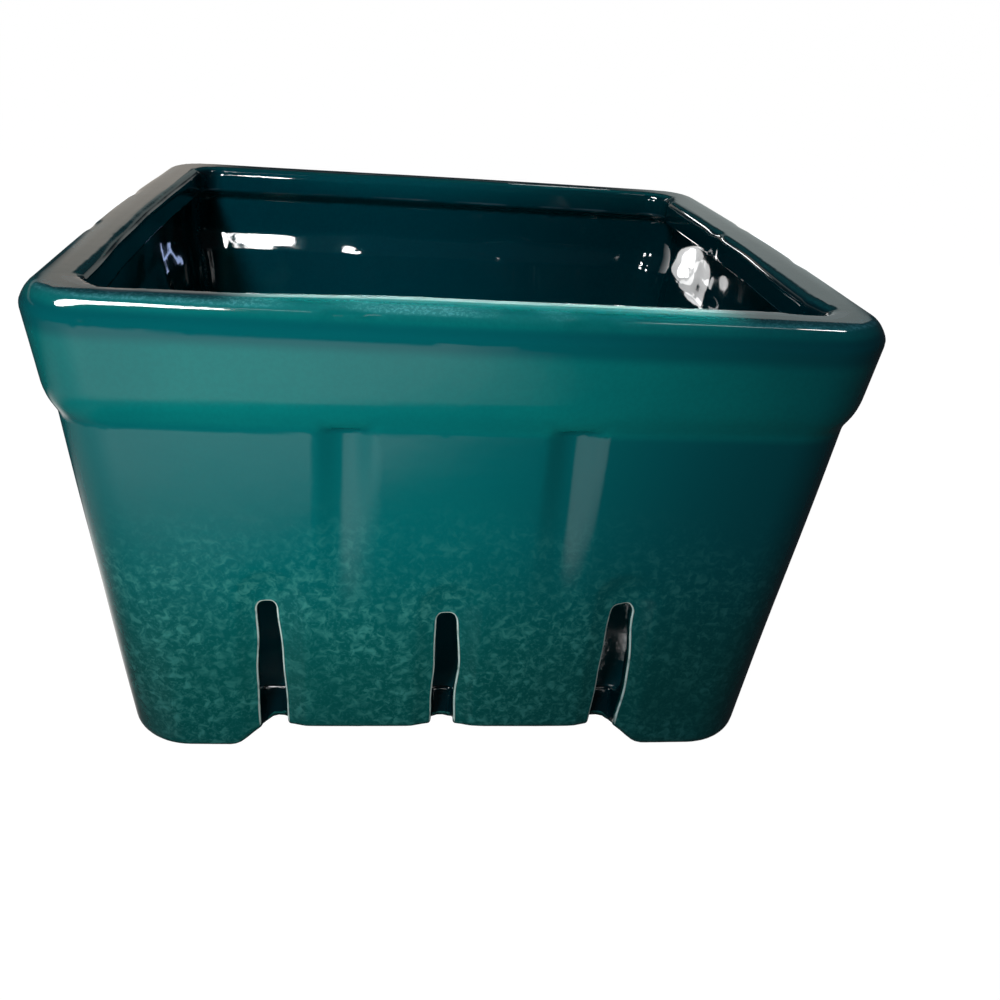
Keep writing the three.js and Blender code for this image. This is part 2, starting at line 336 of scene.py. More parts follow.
def cavity_form(p):
    """Inside of the basket: floor, walls, ledge, recess under the lip and mouth."""
    x, y, z = p.T
    s = side_of(x, y)[1]
    low = np.minimum(z, CREASE_HEIGHT)
    inner_wall = wall_half(low) - WALL_THICKNESS - flute_bumps(s, z) * (1 - rise(z, LEDGE_LOW, BUMP_FADE))
    ledge = rise(z, LEDGE_LOW, LEDGE_HIGH - LEDGE_LOW)
    half = inner_wall + (RECESS_HALF - (wall_half(CREASE_HEIGHT) - WALL_THICKNESS)) * ledge
    lip = rise(z, RECESS_HIGH, LIP_LOW - RECESS_HIGH)
    half = half + (mouth_half(x, y) - half) * lip
    half += INNER_WAVE * waves(p, length=26, count=7, seed=11)
    crumpled = rise(np.abs(x), *CRUMPLE_SIDES) * rise(y, *CRUMPLE_FRONT)
    crumpled = crumpled * rise(z, *CRUMPLE_FOOT) * fall(z, *CRUMPLE_TOP)
    half += CRUMPLE * crumpled * waves(p, length=8.5, count=6, seed=31)
    radius = INNER_CORNER + (LIP_CORNER - INNER_CORNER) * lip
    sides = square(x, y, half, radius, BASE_BOW + INNER_BOW_GAIN * np.clip(z / HEIGHT, 0, 1))
    floor = FLOOR_TOP + FLOOR_WAVE * waves(p, length=45, count=5, seed=21) - z
    return rmax(sides, floor, FLOOR_FILLET)


def form(p):
    """Signed distance to the glazed skin, with the distances to the slots, the outer face and the cavity."""
    x, y, z = p.T
    side, s, n = side_of(x, y)
    outer = outer_form(p, s)
    body = rmax(outer, z - top_height(x, y), RIM_OUTER_ROUND)
    body = rmax(body, (bottom_height(x, y) - z) * UNDERSIDE_SCALE, LOWER_ROUND)
    cavity = cavity_form(p)
    body = rmax(body, -cavity, RIM_INNER_ROUND)
    slots = slot_form(side, s, n, z)
    return rmax(body, -slots, SLOT_ROUND), slots, outer, cavity


def distance(p):
    """Signed distance to the glazed skin alone."""
    return form(p)[0]


def gradient(p, step):
    """Slope of the form, by central differences."""
    columns = []
    for axis in range(3):
        shift = np.zeros(3)
        shift[axis] = step
        columns.append((distance(p + shift) - distance(p - shift)) / (2 * step))
    return np.stack(columns, 1)


def value_and_slope(p, step=0.02):
    """Distance and its slope from one side, which is quick, and close enough to draw points onto the form."""
    value = distance(p)
    slope = np.stack([(distance(p + step * axis) - value) / step for axis in np.eye(3)], 1)
    return value, slope


def lattice_mesh():
    """Surface net of the form: one vertex for each lattice cell that the surface crosses."""
    low = np.array(LATTICE_LOW)
    count = np.ceil((np.array(LATTICE_HIGH) - low) / CELL).astype(int) + 1
    axes = [low[i] + CELL * np.arange(count[i]) for i in range(3)]
    values = np.empty(count)
    for k, z in enumerate(axes[2]):
        gx, gy = np.meshgrid(axes[0], axes[1], indexing="ij")
        level = np.stack((gx.ravel(), gy.ravel(), np.full(gx.size, z)), 1)
        values[:, :, k] = distance(level).reshape(gx.shape)
    values[values == 0] = 1e-9
    inside = values < 0
    corners = [(i, j, k) for i in (0, 1) for j in (0, 1) for k in (0, 1)]
    cut = [inside[i : count[0] - 1 + i, j : count[1] - 1 + j, k : count[2] - 1 + k] for i, j, k in corners]
    total = sum(c.astype(np.int8) for c in cut)
    cells = np.argwhere((total > 0) & (total < 8))
    ids = np.full(total.shape, -1)
    ids[tuple(cells.T)] = np.arange(len(cells))
    point_sum = np.zeros((len(cells), 3))
    hits = np.zeros(len(cells))
    for a in range(8):
        for b in range(a + 1, 8):
            ca, cb = np.array(corners[a]), np.array(corners[b])
            if np.abs(ca - cb).sum() != 1:
                continue
            va = values[tuple((cells + ca).T)]
            vb = values[tuple((cells + cb).T)]
            crossed = (va < 0) != (vb < 0)
            t = np.where(crossed, va / np.where(crossed, va - vb, 1), 0)
            point_sum += crossed[:, None] * (ca + t[:, None] * (cb - ca))
            hits += crossed
    points = low + CELL * (cells + point_sum / hits[:, None])
    triangles = []
    for axis in range(3):
        upper = [slice(None)] * 3
        lower = [slice(None)] * 3
        upper[axis], lower[axis] = slice(1, None), slice(None, -1)
        change = inside[tuple(lower)].astype(np.int8) - inside[tuple(upper)].astype(np.int8)
        where = np.argwhere(change != 0)
        sign = change[tuple(where.T)]
        b_axis, c_axis = (axis + 1) % 3, (axis + 2) % 3
        quad = []
        for db, dc in ((0, 0), (-1, 0), (-1, -1), (0, -1)):
            cell = where.copy()
            cell[:, b_axis] += db
            cell[:, c_axis] += dc
            quad.append(ids[tuple(cell.T)])
        quad = np.stack(quad, 1)
        quad[sign < 0] = quad[sign < 0][:, ::-1]
        first = np.linalg.norm(points[quad[:, 0]] - points[quad[:, 2]], axis=1)
        second = np.linalg.norm(points[quad[:, 1]] - points[quad[:, 3]], axis=1)
        short = (first <= second)[:, None]
        triangles.append(np.where(short, quad[:, (0, 1, 2)], quad[:, (1, 2, 3)]))
        triangles.append(np.where(short, quad[:, (0, 2, 3)], quad[:, (1, 3, 0)]))
    return points, np.concatenate(triangles)


def drawn(points, rounds):
    """The points drawn onto the form by Newton steps."""
    for _ in range(rounds):
        f, slope = value_and_slope(points)
        step = f[:, None] * slope / np.maximum((slope**2).sum(1), 0.05)[:, None]
        length = np.linalg.norm(step, axis=1)
        step *= np.minimum(1, LONGEST_STEP / np.maximum(length, 1e-9))[:, None]
        points = points - step
    return points


def edges_of(triangles):
    """The unique edges, and for each triangle the index of its three edges."""
    pairs = np.concatenate((triangles[:, (0, 1)], triangles[:, (1, 2)], triangles[:, (2, 0)]))
    pairs.sort(axis=1)
    unique, back = np.unique(pairs, axis=0, return_inverse=True)
    return unique, back.reshape(3, -1).T


def relaxed(points, triangles, rounds, where=None):
    """The points evened out along the surface and drawn back onto it. where picks those that may move."""
    edges, _ = edges_of(triangles)
    a, b = edges.T
    ends = np.concatenate((a, b))
    degree = np.bincount(ends, minlength=len(points))
    moving = np.arange(len(points)) if where is None else np.flatnonzero(where)
    for _ in range(rounds):
        middle = np.empty_like(points)
        for axis in range(3):
            weights = np.concatenate((points[b, axis], points[a, axis]))
            middle[:, axis] = np.bincount(ends, weights, len(points)) / degree
        here = points[moving]
        _, slope = value_and_slope(here)
        normal = slope / np.maximum(np.linalg.norm(slope, axis=1), 1e-9)[:, None]
        move = middle[moving] - here
        move -= (move * normal).sum(1)[:, None] * normal
        points[moving] = drawn(here + RELAX * move, 1)
    return points


def refined(points, triangles, wanted):
    """Edges longer than wanted are halved, and the triangles on them divided."""
    edges, of = edges_of(triangles)
    middle = points[edges].mean(1)
    length = np.linalg.norm(points[edges[:, 0]] - points[edges[:, 1]], axis=1)
    split = length > wanted(middle)
    new = np.full(len(edges), -1)
    new[split] = len(points) + np.arange(split.sum())
    points = np.concatenate((points, drawn(middle[split], 3)))
    mids = new[of]
    marks = mids >= 0
    out = [triangles[~marks.any(1)]]
    for pattern in range(1, 8):
        want = np.array([(pattern >> i) & 1 for i in range(3)], bool)
        rows = (marks == want).all(1)
        t, m = triangles[rows], mids[rows]
        if pattern == 7:
            (a, b, c), (ab, bc, ca) = t.T, m.T
            for parts in ((a, ab, ca), (ab, b, bc), (ca, bc, c), (ab, bc, ca)):
                out.append(np.stack(parts, 1))
        elif want.sum() == 1:
            i = int(np.argmax(want))
            a, b, c, ab = t[:, i], t[:, (i + 1) % 3], t[:, (i + 2) % 3], m[:, i]
            out += [np.stack((a, ab, c), 1), np.stack((ab, b, c), 1)]
        else:
            i = int(np.argmin(want))
            a, b, c = t[:, i], t[:, (i + 1) % 3], t[:, (i + 2) % 3]
            bc, ca = m[:, (i + 1) % 3], m[:, (i + 2) % 3]
            out += [np.stack((a, b, bc), 1), np.stack((a, bc, ca), 1), np.stack((ca, bc, c), 1)]
    return points, np.concatenate(out)


def near_slots(p):
    """Which points are on the edges or walls of a slot."""
    _, slots, outer, _ = form(p)
    return (np.abs(slots) < SLOT_BORDER) & (outer > -SLOT_BORDER)


def slot_detail(p):
    """Wanted edge length: short along the slots' edges."""
    return np.where(near_slots(p), SLOT_EDGE_LENGTH, math.inf)


def clipped(points, triangles, value):
    """Triangles divided where value crosses 0."""
    signs = np.sign(value)[triangles]
    crossing = (signs.max(1) > 0) & (signs.min(1) < 0)
    extra, made, out = [], {}, []

    def cross(a, b):
        """The point where the edge crosses 0, made once for both of its triangles."""
        key = (a, b) if a < b else (b, a)
        if key not in made:
            t = value[a] / (value[a] - value[b])
            made[key] = len(points) + len(extra)
            extra.append(points[a] + t * (points[b] - points[a]))
        return made[key]

    for t in triangles[crossing]:
        v = value[t]
        zero = np.flatnonzero(v == 0)
        if len(zero):
            a, b, c = np.roll(t, -zero[0])
            m = cross(b, c)
            out += [(a, b, m), (a, m, c)]
            continue
        lone = next(k for k in range(3) if v[k] * v[k - 1] < 0 and v[k] * v[k - 2] < 0)
        a, b, c = np.roll(t, -lone)
        ab, ac = cross(a, b), cross(a, c)
        out += [(a, ab, ac), (ab, b, c), (ab, c, ac)]
    if extra:
        points = np.concatenate((points, np.array(extra)))
        triangles = np.concatenate((triangles[~crossing], np.array(out)))
    return points, triangles


# Seams between the nodes, each a plane's direction and its distance from the origin
UP = np.array((0.0, 0.0, 1.0))
SEAM_FEET = (UP, 4.8)
SEAM_FLOOR = (UP, 10.9)
SEAM_BAND = (np.array((-CREASE_TILT, 0.0, 1.0)), CREASE_HEIGHT - 1.3)
MITRES = ((np.array((1.0, 1.0, 0.0)) / math.sqrt(2), 0.0), (np.array((1.0, -1.0, 0.0)) / math.sqrt(2), 0.0))
SEAMS = (*MITRES, SEAM_FEET, SEAM_FLOOR, SEAM_BAND)

# Points nearer to a seam than SEAM_SNAP are moved onto it, and within ON_SEAM they count as on it
SEAM_SNAP = 0.06
ON_SEAM = 1e-5


def seam_value(points, seam):
    """Distance past a seam, and exactly 0 on it."""
    value = points @ seam[0] - seam[1]
    return np.where(np.abs(value) < ON_SEAM, 0.0, value)


def skin():
    """The whole glazed skin, with vertices along every seam."""
    points, triangles = lattice_mesh()
    points = drawn(points, 3)
    points = relaxed(points, triangles, 3)
    for _ in range(2):
        points, triangles = refined(points, triangles, slot_detail)
    points = relaxed(points, triangles, 3, near_slots(points))
    for i, seam in enumerate(SEAMS):
        value = points @ seam[0] - seam[1]
        near = np.abs(value) < SEAM_SNAP
        along = seam[0] if i < len(MITRES) else UP
        points[near] -= value[near, None] * along
        points, triangles = clipped(points, triangles, seam_value(points, seam))
    return points, triangles


def regions(points, triangles):
    """For each CAD node, which triangles lie in its region."""
    x, y, z = points[triangles].mean(1).T
    under_band = points[triangles].mean(1) @ SEAM_BAND[0] < SEAM_BAND[1]
    foot = z < SEAM_FEET[1]
    floor = ~foot & (z < SEAM_FLOOR[1])
    wall = under_band & ~foot & ~floor
    side = side_of(x, y)[0]
    found = {"rim_collar": ~under_band, "base_floor": floor}
    for i, name in enumerate(("front_wall", "right_wall", "back_wall", "left_wall")):
        found[name] = wall & (side == i)
    for end, back in (("front", -1), ("back", 1)):
        for hand, across in (("left", -1), ("right", 1)):
            found[f"foot_{end}_{hand}"] = foot & (y * back > 0) & (x * across > 0)
    return found


def chains_of(edges):
    """Directed edges joined end to end into chains of points. A chain that closes ends where it starts."""
    after = dict(edges)
    starts = [a for a, _ in edges if a not in set(after.values())]
    left = set(after)
    chains = []
    for start in starts + [a for a, _ in edges]:
        if start not in left:
            continue
        chain = [start]
        while chain[-1] in left:
            left.discard(chain[-1])
            chain.append(after[chain[-1]])
        chains.append(chain)
    return chains


def loops_of(points, edges):
    """Closed loops on one seam. Open chains are joined across the thickness of the clay."""
    chains = chains_of(edges)
    loops = [c[:-1] for c in chains if c[0] == c[-1]]
    loose = [c for c in chains if c[0] != c[-1]]
    while loose:
        loop = loose.pop(0)
        while True:
            ends = [points[c[0]] for c in loose] + [points[loop[0]]]
            nearest = int(np.argmin([np.linalg.norm(points[loop[-1]] - e) for e in ends]))
            if nearest == len(loose):
                break
            loop += loose.pop(nearest)
        loops.append(loop)
    return loops


def closing_faces(points, triangles):
    """Triangles that close a region along its seams, and the way that each looks."""
    pairs = np.concatenate((triangles[:, (1, 0)], triangles[:, (2, 1)], triangles[:, (0, 2)]))
    known = {tuple(pair) for pair in pairs.tolist()}
    border = [(a, b) for a, b in known if (b, a) not in known]
    border.sort()
    middle = points.mean(0)
    faces, looks = [], []
    for seam in SEAMS:
        on = seam_value(points, seam) == 0
        edges = [(a, b) for a, b in border if on[a] and on[b]]
        if not edges:
            continue
        away = seam[0] * np.sign(seam[1] - middle @ seam[0])
        loops = loops_of(points, edges)
        areas = []
        for loop in loops:
            ring = points[loop]
            areas.append(np.cross(ring, np.roll(ring, -1, axis=0)).sum(0) @ away)
        holed = min(areas) < 0 < max(areas)
        for group in [loops] if holed else [[loop] for loop in loops]:
            flat = [k for loop in group for k in loop]
            rings = [[Vector(points[k]) for k in loop] for loop in group]
            for t in tessellate_polygon(rings):
                a, b, c = (flat[k] for k in t)
                if np.cross(points[b] - points[a], points[c] - points[a]) @ away < 0:
                    b, c = c, b
                faces.append((a, b, c))
                looks.append(away)
    return np.array(faces).reshape(-1, 3), np.array(looks).reshape(-1, 3)


def surface_facts(points):
    """What the glaze needs to know at each point: distances, and how convex the skin is."""
    value, slots, outer, cavity = form(points)
    around = sum(distance(points + CURVE_REACH * e) + distance(points - CURVE_REACH * e) for e in np.eye(3))
    convex = (around - 6 * value) / CURVE_REACH**2
    return {"slot_distance": slots, "outer_distance": outer, "cavity_distance": cavity, "convex": convex}


def sound_faces(faces):
    """Which faces have three different points and copy no earlier face."""
    ordered = np.sort(faces, axis=1)
    _, first = np.unique(ordered, axis=0, return_index=True)
    keep = np.zeros(len(faces), bool)
    keep[first] = True
    return keep & (ordered[:, 0] != ordered[:, 1]) & (ordered[:, 1] != ordered[:, 2])


def piece(name, points, triangles, normals, facts, material):
    """One region of the skin as an object in metres, with the form's own normals on its glazed faces."""
    used, index = np.unique(triangles, return_inverse=True)
    own = points[used]
    glazed = index.reshape(-1, 3)
    caps, looks = closing_faces(own, glazed)
    faces = np.concatenate((glazed, caps))
    shown = np.concatenate((normals[used][glazed], np.repeat(looks[:, None], 3, axis=1)))
    keep = sound_faces(faces)
    mesh = bpy.data.meshes.new(name)
    mesh.from_pydata((own * MM).tolist(), [], faces[keep].tolist(), shade_flat=False)
    mesh.materials.append(material)
    mesh.normals_split_custom_set(shown[keep].reshape(-1, 3).tolist())
    for key, values in facts.items():
        layer = mesh.attributes.new(key, "FLOAT", "POINT")
        layer.data.foreach_set("value", values[used].astype(np.float32))
    obj = bpy.data.objects.new(name, mesh)
    bpy.context.scene.collection.objects.link(obj)
    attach(obj, "root")
    return obj


class Nodes:
    """Builds a node tree from short calls."""

    def __init__(self, owner):
        owner.use_nodes = True
        self.tree = owner.node_tree
        self.tree.nodes.clear()

    def add(self, kind, **settings):
        made = self.tree.nodes.new(kind)
        for key, value in settings.items():
            setattr(made, key, value)
        return made

    def link(self, value, socket):
        if hasattr(value, "is_linked"):
            self.tree.links.new(value, socket)
        else:
            socket.default_value = value

    def math(self, operation, a, b=0.0):
        made = self.add("ShaderNodeMath", operation=operation)
        for socket, value in zip(made.inputs, (a, b)):
            self.link(value, socket)
        return made.outputs[0]

    def ramp(self, value, low, high, out_low=0.0, out_high=1.0):
        """A smooth step from out_low where value is low to out_high where it is high."""
        made = self.add("ShaderNodeMapRange", interpolation_type="SMOOTHSTEP")
        for socket, given in zip(made.inputs, (value, low, high, out_low, out_high)):
            self.link(given, socket)
        return made.outputs[0]

    def mix(self, amount, a, b):
        """Colour a where amount is 0, and b where it is 1."""
        made = self.add("ShaderNodeMix", data_type="RGBA")
        self.link(amount, made.inputs["Factor"])
        self.link(a, made.inputs["A"])
        self.link(b, made.inputs["B"])
        return made.outputs["Result"]

    def noise(self, vector, scale, detail=2.0, rough=0.5, distortion=0.0):
        made = self.add("ShaderNodeTexNoise")
        self.link(vector, made.inputs["Vector"])
        made.inputs["Scale"].default_value = scale
        made.inputs["Detail"].default_value = detail
        made.inputs["Roughness"].default_value = rough
        made.inputs["Distortion"].default_value = distortion
        return made.outputs["Fac"]

    def either(self, a, b):
        """The larger of two."""
        return self.math("MAXIMUM", a, b)

    def times(self, first, *others):
        for other in others:
            first = self.math("MULTIPLY", first, other)
        return first

    def split(self, vector):
        made = self.add("ShaderNodeSeparateXYZ")
        self.link(vector, made.inputs[0])
        return made.outputs

    def attribute(self, name):
        return self.add("ShaderNodeAttribute", attribute_name=name).outputs["Fac"]


# Glaze colours, linear
TEAL = (0.001, 0.128, 0.117, 1)
TEAL_DEEP = (0.0, 0.072, 0.078, 1)
TEAL_INSIDE = (0.0, 0.125, 0.138, 1)
# Painted shade: near-black teal for the shaded parts of the lining and the slots
TEAL_PAINTED_SHADE = (0.0, 0.012, 0.015, 1)
TEAL_PALE = (0.012, 0.185, 0.175, 1)
# Pale aqua for the rim's speckled line: partly bubbles in the glaze, partly a painted highlight
TEAL_SPECKLE_AND_HIGHLIGHT = (0.10, 0.42, 0.42, 1)
TEAL_LOW = (0.002, 0.074, 0.060, 1)
FLECK = (0.045, 0.250, 0.215, 1)
# Painted reflection: a pale grey sheen for the front's inner rim edge
RIM_PAINTED_REFLECTION = (0.13, 0.22, 0.21, 1)
BREAK_WHITE = (0.60, 0.74, 0.66, 1)
# Pale grey for the lip's lower edge: partly thin glaze, partly a painted highlight
BREAK_GREY_AND_HIGHLIGHT = (0.13, 0.22, 0.23, 1)
BARE_CLAY = (0.46, 0.40, 0.32, 1)
WHITE = (1, 1, 1, 1)

# Glaze heights and places in metres: where an effect begins, and where it is full
FLECKS_DOWN = (0.062, 0.030)
FLECKS_LESS_RIGHT = (0.01, 0.06)
LINING_DOWN = (0.060, 0.030)
UNDER_BAND = (0.0735, 0.0715)
# Painted shade on the outer walls under the band, growing towards the right
WALL_SHADE_RIGHT = (-0.005, 0.045)
LOW_DOWN = (0.055, 0.015)
# Painted shade inside: stronger towards the right wall, on the left wall, and higher up
PAINTED_SHADE_RIGHT = (-0.020, 0.062)
PAINTED_SHADE_LEFT = (-0.0580, -0.0625)
PAINTED_SHADE_UP = (0.035, 0.060)
BAND_TOP_FROM = (0.0860, 0.0885)
BAND_TOP_TO = (0.0935, 0.0925)
RIM_LINE_UP = (0.0915, 0.0930)
CREST_UP = (0.0910, 0.0920)
CREST_FRONT = (-0.0600, -0.0625)
LIP_EDGE_FROM = (0.0879, 0.0881)
LIP_EDGE_TO = (0.0886, 0.0884)
FOOT_DOWN = (0.0011, 0.0006)

# Gaps in millimetres to the skin's forms: where an effect begins, and where it is full
LINED = (0.9, 0.2)
BAND_TOP_GAP = (1.2, 0.4)
RIM_LINE_FROM = (2.0, 2.8)
RIM_LINE_TO = (8.0, 5.0)
CREST_GAP = (4.3, 3.5)
IN_SLOT = (0.45, 0.20)
IN_FROM_OUTSIDE = (0.7, 1.6)
BREAK_GAP = (0.44, 0.22)

# Grain of each pattern, as cells per metre
CLOUD_GRAIN = 30
PATCH_GRAIN = 60
CURL_GRAIN = 560
SPECKLE_GRAIN = 1500
CLAY_GRAIN = 1300
RIM_LINE_GRAIN = 45
LIP_GRAIN = 60
WORN_GRAIN = 420
PINHOLE_GRAIN = 70
WAVY_GRAIN = 95
FINE_GRAIN = 700

# Heights of the glaze's relief in metres
WAVY_RELIEF = 0.00008
FINE_RELIEF = 0.000009
FLECK_RELIEF = 0.000012


class Spot:
    """What the glaze goes by at each point: its place, and its distance in mm to the forms of the skin."""

    def __init__(self, g):
        self.place = g.add("ShaderNodeTexCoord").outputs["Object"]
        self.x, self.y, self.z = g.split(self.place)
        self.convex = g.attribute("convex")
        self.slot_gap = g.math("ABSOLUTE", g.attribute("slot_distance"))
        self.outer_gap = g.math("ABSOLUTE", g.attribute("outer_distance"))
        self.inner_gap = g.math("ABSOLUTE", g.attribute("cavity_distance"))
        self.inside = g.ramp(self.inner_gap, *LINED)
        self.outside = g.ramp(self.inside, 1, 0)


def flecks(g, at):
    """Curled pale flecks low on the walls, in patches."""
    low = g.ramp(at.z, *FLECKS_DOWN)
    patch = g.ramp(g.noise(at.place, PATCH_GRAIN, 3), 0.34, 0.60)
    curl = g.ramp(g.noise(at.place, CURL_GRAIN, 2, 0.6, 0.6), 0.42, 0.74)
    speckle = g.ramp(g.noise(at.place, SPECKLE_GRAIN, 2, 0.6), 0.48, 0.72)
    side_fade = g.ramp(at.x, *FLECKS_LESS_RIGHT, 1.0, 0.55)
    return g.times(low, side_fade, g.ramp(patch, 0, 1, 0.55, 1.0), g.either(curl, g.times(speckle, 0.5)))


def wall_tone(g, at, fleck):
    """Cloudy teal outside, deeper and greener downwards, with painted shade: on the outer walls under the
    band, most on the right, and on the lining, deeper downwards and darkest on its left and right walls.
    """
    cloud = g.noise(at.place, CLOUD_GRAIN, 3, 0.55)
    tone = g.mix(g.ramp(cloud, 0.75, 0.25, 0.0, 0.30), TEAL, TEAL_DEEP)
    pale = g.times(g.ramp(at.convex, 0.10, 0.55), g.ramp(at.inside, 0, 1, 0.55, 0.15))
    tone = g.mix(pale, tone, TEAL_PALE)
    tone = g.mix(g.times(g.ramp(at.convex, -0.08, -0.8), 0.7), tone, TEAL_DEEP)
    # Painted shade: the lining turns deeper teal downwards, towards the floor inside
    lining = g.mix(g.ramp(at.z, *LINING_DOWN), TEAL_INSIDE, TEAL_DEEP)
    tone = g.mix(at.inside, tone, lining)
    # Painted shade on the inside walls: darkest on the left wall, growing towards the right wall, weaker near
    # the floor
    side_shade = g.either(g.ramp(at.x, *PAINTED_SHADE_RIGHT, 0.0, 0.75), g.ramp(at.x, *PAINTED_SHADE_LEFT, 0.0, 0.92))
    side_shade = g.times(side_shade, g.ramp(at.z, *PAINTED_SHADE_UP, 0.4, 1.0))
    tone = g.mix(g.times(at.inside, side_shade), tone, TEAL_PAINTED_SHADE)
    grain = g.ramp(g.noise(at.place, CLAY_GRAIN, 2, 0.6), 0.38, 0.62)
    tone = g.mix(g.times(grain, 0.16), tone, TEAL_DEEP)
    # Painted shade: the outer walls under the band are darker than the band, most on the right
    wall_shade = g.times(g.ramp(at.z, *UNDER_BAND), g.ramp(at.x, *WALL_SHADE_RIGHT, 0.60, 0.98))
    tone = g.mix(g.times(wall_shade, at.outside), tone, TEAL_DEEP)
    tone = g.mix(g.times(g.ramp(at.z, *LOW_DOWN, 0.0, 0.75), at.outside), tone, TEAL_LOW)
    return g.mix(g.times(fleck, at.outside, 0.62), tone, FLECK)


def rim_tone(g, at, tone):
    """Darker teal at the top of the band, a speckled line on the rim that is partly bubbles and partly a
    painted highlight, and a painted reflection along the front's inner rim edge.
    """
    band_top = g.times(g.ramp(at.outer_gap, *BAND_TOP_GAP), g.ramp(at.z, *BAND_TOP_FROM),
                       g.ramp(at.z, *BAND_TOP_TO))
    tone = g.mix(g.times(band_top, 0.95), tone, TEAL_DEEP)
    # A speckled pale aqua line round the rim's outer rounding: partly bubbles in the glaze and partly a
    # painted highlight
    bubbles = g.ramp(g.noise(at.place, SPECKLE_GRAIN, 2, 0.65), 0.42, 0.68)
    broken = g.ramp(g.noise(at.place, RIM_LINE_GRAIN, 2), 0.36, 0.58)
    rim_line = g.times(g.ramp(at.outer_gap, *RIM_LINE_FROM), g.ramp(at.outer_gap, *RIM_LINE_TO),
                       g.ramp(at.z, *RIM_LINE_UP))
    rim_line = g.times(rim_line, g.ramp(bubbles, 0, 1, 0.35, 1.0), broken)
    tone = g.mix(g.times(rim_line, 0.6), tone, TEAL_SPECKLE_AND_HIGHLIGHT)
    # Painted reflection: a pale grey sheen along the inner rim edge, on the front only
    crest = g.times(g.ramp(at.inner_gap, *CREST_GAP), g.ramp(at.z, *CREST_UP), g.ramp(at.y, *CREST_FRONT))
    return g.mix(g.times(crest, 0.9), tone, RIM_PAINTED_REFLECTION)


def edge_tone(g, at, tone):
    """Painted shade in the slots, thin pale glaze where it breaks over their edges, and a pale line along the
    lip's lower edge, partly thin glaze and partly a painted highlight.
    """
    # Painted shade: the slots' walls turn near-black
    slot_shade = g.times(g.ramp(at.slot_gap, *IN_SLOT), g.ramp(at.outer_gap, *IN_FROM_OUTSIDE))
    tone = g.mix(slot_shade, tone, TEAL_PAINTED_SHADE)
    # Along the lip's lower edge inside, a pale grey line: partly glaze thinning over the edge and partly a
    # painted highlight
    lip_edge = g.times(at.inside, g.ramp(at.convex, 0.10, 0.42), g.ramp(at.z, *LIP_EDGE_FROM),
                       g.ramp(at.z, *LIP_EDGE_TO))
    lip_edge = g.times(lip_edge, g.ramp(g.noise(at.place, LIP_GRAIN, 2), 0.46, 0.64))
    tone = g.mix(g.times(lip_edge, 0.6), tone, BREAK_GREY_AND_HIGHLIGHT)
    worn = g.noise(at.place, WORN_GRAIN, 2, 0.5)
    edge = g.times(g.ramp(at.slot_gap, *BREAK_GAP), g.ramp(at.outer_gap, *BREAK_GAP),
                   g.ramp(worn, 0.25, 0.5, 0.45, 1.0))
    return g.mix(edge, tone, BREAK_WHITE)


def flaw_tone(g, at, tone):
    """A few pinholes, and bare clay under the feet."""
    cell = g.add("ShaderNodeTexVoronoi")
    g.link(at.place, cell.inputs["Vector"])
    cell.inputs["Scale"].default_value = PINHOLE_GRAIN
    chosen = g.ramp(g.split(cell.outputs["Color"])[0], 0.90, 0.91)
    pinhole = g.times(chosen, g.ramp(cell.outputs["Distance"], 0.022, 0.010))
    tone = g.mix(g.times(pinhole, 0.8), tone, BREAK_WHITE)
    return g.mix(g.ramp(at.z, *FOOT_DOWN), tone, BARE_CLAY)


def relief(g, at, fleck):
    """Bump of the glaze: soft waves, a fine grain and the flecks."""
    wavy = g.noise(at.place, WAVY_GRAIN, 2, 0.5)
    fine = g.noise(at.place, FINE_GRAIN, 2, 0.5)
    height = g.math("ADD", g.times(wavy, WAVY_RELIEF), g.times(fine, FINE_RELIEF))
    height = g.math("ADD", height, g.times(fleck, FLECK_RELIEF))
    bump = g.add("ShaderNodeBump")
    bump.inputs["Strength"].default_value = 0.6
    bump.inputs["Distance"].default_value = 1.0
    g.link(height, bump.inputs["Height"])
    return bump.outputs[0]


def teal_glaze():
    """Glossy teal glaze, cloudy and flecked low on the walls, thin and pale where it breaks over edges, with
    painted shade inside, in the slots and under the band, and painted highlights on the rim.
    """
    material = bpy.data.materials.new("teal_glaze")
    g = Nodes(material)
    at = Spot(g)
    fleck = flecks(g, at)
    tone = wall_tone(g, at, fleck)
    tone = rim_tone(g, at, tone)
    tone = edge_tone(g, at, tone)
    tone = flaw_tone(g, at, tone)
    shader = g.add("ShaderNodeBsdfPrincipled")
    g.link(tone, shader.inputs["Base Color"])
    g.link(g.ramp(fleck, 0, 1, 0.055, 0.12), shader.inputs["Roughness"])
    shader.inputs["IOR"].default_value = 1.5
    g.link(relief(g, at, fleck), shader.inputs["Normal"])
    out = g.add("ShaderNodeOutputMaterial")
    g.link(shader.outputs[0], out.inputs[0])
    return material


def build_colander():
    """The glazed skin, cut into one closed piece for each node of the casting."""
    points, triangles = skin()
    slope = gradient(points, NORMAL_STEP)
    normals = slope / np.linalg.norm(slope, axis=1)[:, None]
    facts = surface_facts(points)
    material = teal_glaze()
    for name, inside in regions(points, triangles).items():
        obj = piece(f"{name}_glazed", points, triangles[inside], normals, facts, material)
        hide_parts(name)


FLOOR_HALF = 3.0
FLOOR_GREY = (0.05, 0.05, 0.05, 1)


